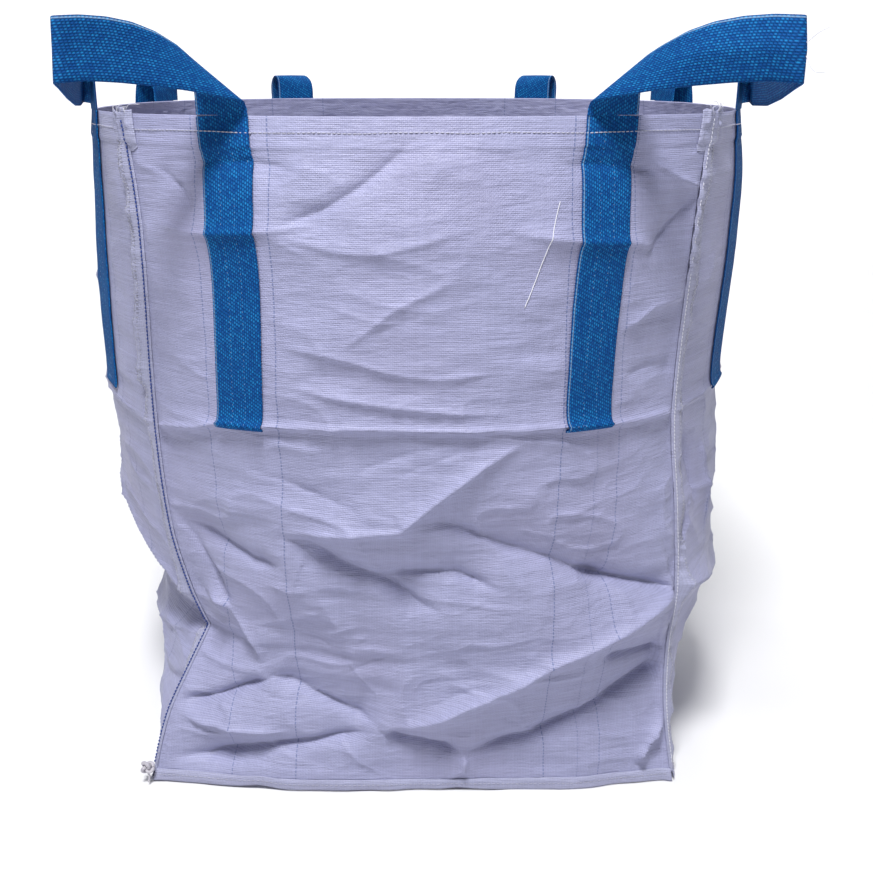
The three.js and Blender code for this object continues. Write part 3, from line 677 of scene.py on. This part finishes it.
def hem_stitches(side):
    """The hem's stitch line, which runs over the webbing."""
    shares = np.linspace(0.012, 0.988, 420)
    half = WEB_WIDTH / 2 / PANEL_WIDTH
    from_leg = np.abs(np.minimum(shares, 1 - shares) - LEG_PLACE)
    over = 1 - smooth(from_leg, half - 0.002, half + 0.003)
    z = RIM - HEM / 2 + 0.0012 * wave(shares, 0.06, 5)
    points = on_bag(side, shares, z, 0.0006 + over * (WEB + 0.0012))
    piece = stitch_row(f"hem_stitches_{side}", points, outward(side, shares, z), hem_thread,
                       pitch=0.0066, share=0.92, radius=0.0007)
    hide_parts(f"{side}_hem_thread")


def base_panel():
    """The base cloth, lying on the floor with a few shallow folds."""
    rings, height = 60, 0.0035
    shares = np.linspace(0, 1, 70)[:-1]
    outline = np.concatenate([on_bag(side, shares, height, -0.001) for side in SIDES])
    lifted = np.concatenate([foot_lift(side, shares) for side in SIDES])
    centre = np.array([0, 0, height])
    reach = np.linspace(0, 1, rings)[:, None]
    points = centre + (outline - centre) * reach[..., None]
    x, y = points[..., 0], points[..., 1]
    lift = 0.5 + 0.5 * ripple(x + 0.4 * y, y, 0.16, 0.10, 31)
    ridges = 1 - np.abs(ripple(x, y - 0.3 * x, 0.22, 0.15, 32))
    points[..., 2] = 0.0016 + (0.0025 * lift + 0.005 * ridges ** 4) * smooth(1 - reach, 0, 0.12)
    points[..., 2] += lifted * smooth(reach, 0.8, 1)
    faces = grid_faces(rings, len(outline), joined=True)
    piece = add_object("base_cloth", points, faces, side_cloth, points[..., :2] + 0.45)
    solid = piece.modifiers.new("thickness", "SOLIDIFY")
    solid.thickness = CLOTH
    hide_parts("base_panel")


def base_seam(side):
    """The turned-out allowance of the base seam: two cut edges side by side, wavy along the floor."""
    seed = 60 + list(SIDES).index(side)
    share, level = np.meshgrid(np.linspace(0, 1, 260), np.linspace(0, 1, 9))
    x = share * PANEL_WIDTH
    low = 0.0022 + 0.0022 * wave(x, 0.09, seed)
    top = FIN_TOP + 0.0015 * wave(x, 0.05, seed + 5)
    swing = 0.002 + 0.0025 * wave(x, 0.04, seed + 9)
    out = 0.0010 + 0.0012 * np.sin(level * math.pi) + swing * (1 - level)
    z = low + (top - low) * level + foot_lift(side, share) * (1 - 0.3 * level)
    points = on_bag(side, share, z, out)
    piece = add_grid(f"base_seam_{side}", points, seam_cloth, grid(x, z + 0.3), 0.0011)
    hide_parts(f"{side}_base_seam")
    direction = outward(side, np.clip(share[0], 0.01, 0.99), 0.03)
    line = (points[4] + points[5]) / 2 + direction * 0.0011
    stitches = stitch_row(f"base_stitches_{side}", line, direction, hem_thread, pitch=0.0075)
    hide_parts(f"{side}_base_thread")


for side_name in SIDES:
    panel(side_name)
    hem_stitches(side_name)
    base_seam(side_name)
base_panel()


# ---------------------------------------------------------------- corner seams
def corner_sides(name):
    """The side that ends at a corner and the side that starts there."""
    before = next(side for side, ends in SIDES.items() if ends[1] == name)
    after = next(side for side, ends in SIDES.items() if ends[0] == name)
    return before, after


def beside_corner(name, reach):
    """The side and share beside a corner, on the left or right panel where reach is positive."""
    before, after = corner_sides(name)
    share = abs(reach) / PANEL_WIDTH
    return (before, 1 - share) if (reach >= 0) == (before in ("left", "right")) else (after, share)


def around_corner(name, reach, z, out):
    return on_bag(*beside_corner(name, reach), z, out)


def corner_normal(name, reach, z):
    side, share = beside_corner(name, reach)
    return outward(side, np.clip(share, 0.012, 0.988), z)


def flare(name, reach, z):
    """How far the free edge of the front left allowance stands off the cloth, along its upper part."""
    part = (name == "front_left") * smooth(z, 0.650, 0.672) * (1 - smooth(z, 1.00, 1.03))
    waves = 0.75 + 0.35 * wave(z, 0.034, 97) + 0.15 * wave(z, 0.010, 98)
    return 0.0105 * part * waves * max(reach / 0.0195, 0) ** 1.5


def corner_seam(name):
    """The folded allowance that lies along a corner, its stitch line and its overlocked edge."""
    seed = 90 + list(CORNERS).index(name)
    z = np.linspace(0.016, RIM + 0.009, 420)
    level = np.minimum(z, RIM)
    ragged = 0.0016 * wave(z, 0.02, seed) + 0.001 * wave(z, 0.006, seed + 1)
    profile = [(-0.0015, 0.0008), (-0.0004, 0.0020), (0.001, 0.0032), (0.006, 0.0030), (0.012, 0.0026),
               (0.017, 0.0030), (0.0195, 0.0018)]
    rows = []
    for reach, out in profile:
        wobble = ragged * (0.56 if reach > 0.015 else 0.24)
        row = around_corner(name, reach, level, out + wobble + flare(name, reach, z))
        if name == "front_right":
            twist = smooth(z, 0.80, 0.84) * (1 - smooth(z, 0.97, 1.0))
            swell = 0.5 + 0.5 * np.sin(2 * math.pi * (z / 0.026 + reach / 0.03))
            pushed = 0.0045 * twist * swell * math.exp(-((reach - 0.004) / 0.006) ** 2)
            row += corner_normal(name, 0.004, level) * pushed[:, None]
        row[:, 2] = z
        rows.append(row)
    uvs = grid([reach for reach, _ in profile], z[:, None])
    piece = add_grid(f"corner_seam_{name}", np.stack(rows, axis=1), seam_cloth, uvs, 0.0009)
    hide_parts(f"{name}_corner_seam")
    is_blue = name == "front_left"
    heights = np.linspace(0.03, RIM - 0.004, 400)
    line = around_corner(name, 0.0012, heights, 0.0040)
    normals = unit(corner_normal(name, 0.004, heights) + corner_normal(name, -0.004, heights))
    colour = blue_thread if is_blue else white_thread
    stitches = stitch_row(f"corner_stitches_{name}", line, normals, colour,
                          pitch=0.0058, share=0.84, radius=0.0013 if is_blue else 0.0007)
    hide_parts(f"{name}_corner_thread")
    overlock = []
    for k, height in enumerate(np.linspace(0.03, RIM - 0.006, 330)):
        reach, lift = (0.0200, 0.0022) if k % 2 else (0.0125, 0.0038)
        overlock.append(around_corner(name, reach, height, lift + flare(name, reach, height)))
    edge = tube(f"overlock_{name}", overlock, 0.00045, white_thread, 5)


def corner_tuft(name):
    """The bunched and frayed top end of a front corner's seam allowance, over the hem."""
    seed = 120 + list(CORNERS).index(name)
    rng = np.random.default_rng(seed)
    reaches = np.linspace(-0.016, 0.030, 44)
    share = np.linspace(0, 1, 40)
    columns = []
    for reach, across in zip(reaches, np.linspace(-1, 1, len(reaches))):
        top = RIM + 0.005 + 0.005 * wave(reach, 0.009, seed)
        low = RIM - HEM - 0.006 + 0.010 * wave(reach, 0.016, seed + 1)
        z = low + (top - low) * share
        bunched = 1 - abs(ripple(reach + 0.25 * z, z, 0.011, 0.020, seed + 2))
        fine = ripple(reach, z, 0.005, 0.009, seed + 3)
        raised = (1 - across ** 4) * smooth(share, 0, 0.35)
        out = 0.0010 + raised * (0.0020 + 0.0060 * bunched ** 2 + 0.0008 * fine)
        column = around_corner(name, reach, np.minimum(z, RIM), out)
        column[:, 2] = z
        columns.append(column)
    points = np.stack(columns, axis=1)
    tuft = add_grid(f"corner_tuft_{name}", points, seam_cloth, grid(reaches, points[..., 2]), 0.0010)
    for k in range(9):
        foot = points[-1, rng.integers(6, 38)]
        lean = np.array([rng.normal(0, 0.5), rng.normal(0, 0.5), 1.0])
        length = rng.uniform(0.006, 0.015)
        bend = np.array([rng.normal(0, 0.4), rng.normal(0, 0.4), -0.4]) * length
        route = [foot - [0, 0, 0.004], foot + lean * length * 0.5, foot + lean * length + bend]
        fray = tube(f"corner_fray_{name}_{k}", spline(route, 9), 0.00035, white_thread, 5)


for corner_name in CORNERS:
    corner_seam(corner_name)
corner_tuft("front_left")
corner_tuft("front_right")


# ---------------------------------------------------------------- straps
def leg(side, end):
    """The sewn-down end of a strap, with its stitches."""
    name = f"{SIDES[side][end]}_{side}"
    share = (LEG_PLACE, 1 - LEG_PLACE)[end]
    z = np.linspace(LEG_FOOT, RIM + 0.001, 150)
    level = np.minimum(z, RIM)
    lift = LEG_LIFT + 0.0006 * smooth(LEG_FOOT + 0.01 - z, 0, 0.01)
    centres = on_bag(side, share, level, lift)
    centres[:, 2] = z
    step = WEB_WIDTH / 2 / PANEL_WIDTH
    widths = on_bag(side, share + step, level) - on_bag(side, share - step, level)
    tangents = unit(np.gradient(centres, axis=0))
    reach = unit(widths - np.sum(widths * tangents, axis=-1, keepdims=True) * tangents) * WEB_WIDTH / 2
    piece = band(f"leg_{name}", centres - reach, centres + reach,
                 start=-0.5, crown=0.5, capped=(True, False))
    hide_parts(f"{name}_leg")
    heights = np.linspace(LEG_FOOT + 0.008, RIM - HEM * 0.4, 60)
    lines = [(share + offset * step, heights, 0.0014) for offset in (-0.8, -0.27, 0.27, 0.8)]
    lines.append((np.linspace(share - 0.85 * step, share + 0.85 * step, 20), LEG_FOOT + 0.010, 0.0016))
    for k, (place, height, rise) in enumerate(lines):
        row = stitch_row(f"leg_stitches_{name}_{k}", on_bag(side, place, height, WEB + rise),
                         outward(side, place, height), leg_thread,
                         pitch=0.0085, share=0.36, radius=0.00027, seed=k)
        if k == 0:
            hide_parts(f"{name}_leg_stitches")


def corner_frame(name):
    """The frame of a corner's loop: directions s and o, the middle between its legs, half its span."""
    before, after = corner_sides(name)
    ends = [on_bag(before, 1 - LEG_PLACE, RIM, LEG_LIFT), on_bag(after, LEG_PLACE, RIM, LEG_LIFT)]
    first, second = ends[::-1] if after in ("front", "back") else ends
    s = unit((second - first) * [1, 1, 0])
    o = np.array([s[1], -s[0], 0])
    if np.dot(o, first) < 0:
        o = -o
    return s, o, (first + second) / 2, np.linalg.norm(second - first) / 2


def raised_stations(half, far_fold):
    """Upper edge, lower edge and rounding of a loop that stands out from its corner, folded three times."""
    far = [
        ((EDGE_S, EDGE_O, .001), (-EDGE_S, -EDGE_O, .001), 0),
        ((.0332, .0173, .030), (-EDGE_S, -EDGE_O, .010), 0),
        ((.022, .025, .054), (-EDGE_S, -.013, .014), 0),
        ((.010, .037, .070), (-.035, -.012, .017), 0.3), ((.003, .043, .073), (-.038, -.006, .019), 0.3),
        ((-.001, .064, .087), (-.031, .020, .024), 0), ((-.002, .092, .101), (-.019, .062, .032), 0),
        ((-.002, .124, .111), (-.010, .108, .038), 0), ((-.001, .158, .116), (-.004, .151, .042), 0),
        ((0, .192, .117), (0, .191, .044), 0), ((.001, .221, .115), (.001, .226, .042), 0.12),
        ((.008, .223, .115), (.008, .228, .042), 0.4), ((.040, .200, .108), (.040, .204, .035), 0),
        ((.100, .158, .095), (.100, .162, .022), 0), ((.180, .104, .083), (.180, .108, .011), 0),
    ]
    near = [
        ((-.086, .068, .077), (-.050, .050, .008), 0), ((-.060, .048, .075), (0, .020, .009), 0),
        ((-.029, .027, .070), (.038, -.004, .011), 0.25),
        ((-EDGE_S, EDGE_O, .066), (EDGE_S, -EDGE_O, .009), 0.25),
        ((-EDGE_S, EDGE_O, .030), (EDGE_S, -EDGE_O, .007), 0),
        ((-EDGE_S, EDGE_O, .001), (EDGE_S, -EDGE_O, .001), 0),
    ]
    stations = []
    for rows, shift in ((far, -half), (near, half)):
        for high, low, turn in rows:
            edges = np.array([high, low]) + [shift, 0, 0]
            edges[:, 1] *= np.where(edges[:, 1] > 0.05, far_fold / FAR_FOLD["front_left"], 1)
            stations.append((*edges, turn))
    return stations


def hanging_stations(half):
    """The same for a loop that has fallen over the rim and hangs as a bight."""
    # Each row is (s, o, z) of the strap's middle and (s, o) of the direction across it.
    side = [
        (0, 0, .001, .92, -.39), (0, 0, .028, .92, -.39), (0, .004, .041, .96, -.25),
        (0, .018, .049, 1, -.02), (0, .033, .044, 1, .1), (-.001, .041, .028, 1, .15),
        (-.001, .044, .004, .97, .25), (-.003, .049, -.030, .9, .45), (-.009, .058, -.064, .7, .7),
        (-.021, .070, -.096, .4, .9),
        (-.042, .082, -.125, .15, 1), (-.074, .092, -.146, .03, 1), (-.112, .097, -.157, 0, 1),
    ]
    placed = []
    for s, o, z, wide, out in side:
        middle, reach = np.array([s + half, o, z]), unit(np.array([wide, out, 0.0])) * WEB_WIDTH / 2
        placed.append((middle - reach, middle + reach, 0))
    flip = np.array([-1, 1, 1])
    lowest, across = np.array([0, .098, -.160]), np.array([0, WEB_WIDTH / 2, 0])
    flipped = [(high * flip, low * flip, 0) for high, low, _ in placed]
    return flipped + [(lowest - across, lowest + across, 0)] + placed[::-1]


def rounded(stations):
    """The edges through the stations, with every sharp turn replaced by a short curve."""
    points = [np.concatenate([high, low]) for high, low, _ in stations]
    edges = []
    for i, (point, (_, _, turn)) in enumerate(zip(points, stations)):
        if turn == 0:
            edges.append(point)
            continue
        start, end = [point + (points[k] - point) * turn for k in (i - 1, i + 1)]
        t = np.linspace(0, 1, 10)[:, None]
        edges.extend(start * (1 - t) ** 2 + point * 2 * t * (1 - t) + end * t * t)
    return np.array(edges)


def evened(edges, count, softness):
    """Pairs of edge points spaced evenly along the strap and smoothed over a few neighbours."""
    walked = distances((edges[:, :3] + edges[:, 3:]) / 2)
    even = np.linspace(0, walked[-1], count)
    rows = grid(*(np.interp(even, walked, column) for column in edges.T))
    for _ in range(softness):
        rows[1:-1] = (rows[:-2] + 2 * rows[1:-1] + rows[2:]) / 4
    return rows


def loop(name):
    """The free part of a strap, which bends where it leaves its two legs."""
    s, o, middle, half = corner_frame(name)
    is_front = name.startswith("front")
    stations = raised_stations(half, FAR_FOLD[name]) if is_front else hanging_stations(half)
    edges = evened(rounded(stations), 420, 14 if is_front else 60)
    place = np.linspace(0, 1, len(edges))
    crease = smooth(place, 0.14, 0.24) * (1 - smooth(place, 0.36, 0.42))
    dent = {"front_right": -0.008, "front_left": -0.002}.get(name, 0.0) * crease
    up = np.array([0, 0, 1])
    highs, lows = [edges[:, k:k + 3] @ np.array([s, o, up]) + middle for k in (0, 3)]
    piece = band(f"loop_{name}", highs, lows, crown=0.4, dent=dent, body=None)
    if is_front:
        start = middle + up * 0.002
        end = start + (o * 0.6 + up * 0.8) * 0.042
    else:
        start, end = middle + o * 0.020, middle + o * 0.034
    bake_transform(piece)
    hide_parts(f"{name}_loop")


for side_name in SIDES:
    for leg_end in (0, 1):
        leg(side_name, leg_end)
for corner_name in CORNERS:
    loop(corner_name)


# ---------------------------------------------------------------- knot and loose threads
def cord_knot():
    """The knotted end of the corner's filler cord, an overhand knot with a short frayed tail."""
    low, high = np.array(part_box("corner_cord_knot"))
    centre = (low + high) / 2
    radius = (high[0] - low[0]) / 2 * 0.78
    a = np.linspace(0, 4 * math.pi, 97)
    ring = radius * 0.62 + radius * 0.36 * np.cos(1.5 * a)
    points = centre + grid(ring * np.cos(a), radius * 0.5 * np.sin(1.5 * a), ring * np.sin(a))
    knot = tube("corner_knot", points, radius * 0.30, cord_fibre, 10)
    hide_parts("corner_cord_knot")
    corner = around_corner("front_left", 0.001, 0.022, 0.003)
    neck = [corner, corner * 0.6 + centre * 0.4 + [0, 0, .003], points[3]]
    tube("knot_neck", spline(neck, 14), 0.0022, cord_fibre, 8)
    tail = centre + np.array([(0, -.002, -.004), (.003, -.004, -.014), (.002, -.006, -.024)])
    tube("knot_tail", spline(tail, 12), 0.0016, cord_fibre, 7)


def loose_threads():
    """Sewing threads that were left long: one on the front panel, a pair at the right loop's far fold."""
    route = spline([(.733, .945), (.722, .905), (.704, .850), (.684, .806)], 40)
    lying = on_bag("front", route[:, 0], route[:, 1], 0.0011)
    tube("thread_on_front", lying, 0.0007, white_thread, 6)
    s, o, middle, half = corner_frame("front_right")
    fold = middle - s * (half - 0.006) + o * FAR_FOLD["front_right"]
    for k, (height, rise, drop) in enumerate(((0.086, 0.016, 0.002), (0.072, -0.018, 0.004))):
        ways = [(-0.006, 0), (0, 0), (0.012, rise * 0.7 - drop), (0.026, rise)]
        points = [fold + o * way + np.array([0, 0, height + up]) for way, up in ways]
        loose = tube(f"thread_on_loop_{k}", spline(points, 20), 0.0005, white_thread, 5, "front_right_loop")


cord_knot()
loose_threads()


# ---------------------------------------------------------------- floor, light and camera
def studio_floor():
    """A pale round floor that curves up into a wall far away on every side."""
    around, flat, bend, top = 72, 4.5, 2.0, 3.6
    profile = [(0.1, 0), (1.5, 0), (3.0, 0)]
    for turn in np.linspace(0, math.pi / 2, 17):
        profile.append((flat + bend * math.sin(turn), bend - bend * math.cos(turn)))
    profile.append((flat + bend, top))
    angles = np.arange(around) * 2 * math.pi / around
    points = [(r * math.cos(a), r * math.sin(a), z) for r, z in profile for a in angles]
    faces = grid_faces(len(profile), around, True, (True, False))
    floor = add_object("floor", points, faces, plain_floor(), body=None)
    floor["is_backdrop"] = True


def area_light(name, place, target, size, power):
    light = bpy.data.lights.new(name, "AREA")
    light.size = size
    light.energy = power
    lamp = bpy.data.objects.new(name, light)
    lamp.location = place
    lamp.rotation_euler = (Vector(target) - Vector(place)).to_track_quat("-Z", "Y").to_euler()
    scene.collection.objects.link(lamp)


studio_floor()
area_light("key", (-0.4, -2.3, 4.7), (0, -0.3, 0.5), 1.1, 300)
area_light("backdrop", (0, 3.2, 5.5), (0, 6.5, 1.0), 3.0, 300)

scene.view_settings.view_transform = "Standard"
scene.world = bpy.data.worlds.new("studio")
scene.world.use_nodes = True
background = scene.world.node_tree.nodes["Background"].inputs
background["Color"].default_value = (0.92, 0.94, 1.0, 1)
background["Strength"].default_value = 0.13

camera = bpy.data.objects.new("camera", bpy.data.cameras.new("camera"))
camera.location = (0, -1.94, 1.105)
camera.rotation_euler = (math.radians(90 - 18.7), 0, 0)
camera.data.lens = 44.5
camera.data.shift_x = 0.026
camera.data.clip_start = 0.05
scene.collection.objects.link(camera)
scene.camera = camera

plain = lambda box: [[float(value) for value in corner] for corner in box]
{"cad": plain(cad_box), "visual": plain(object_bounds())}
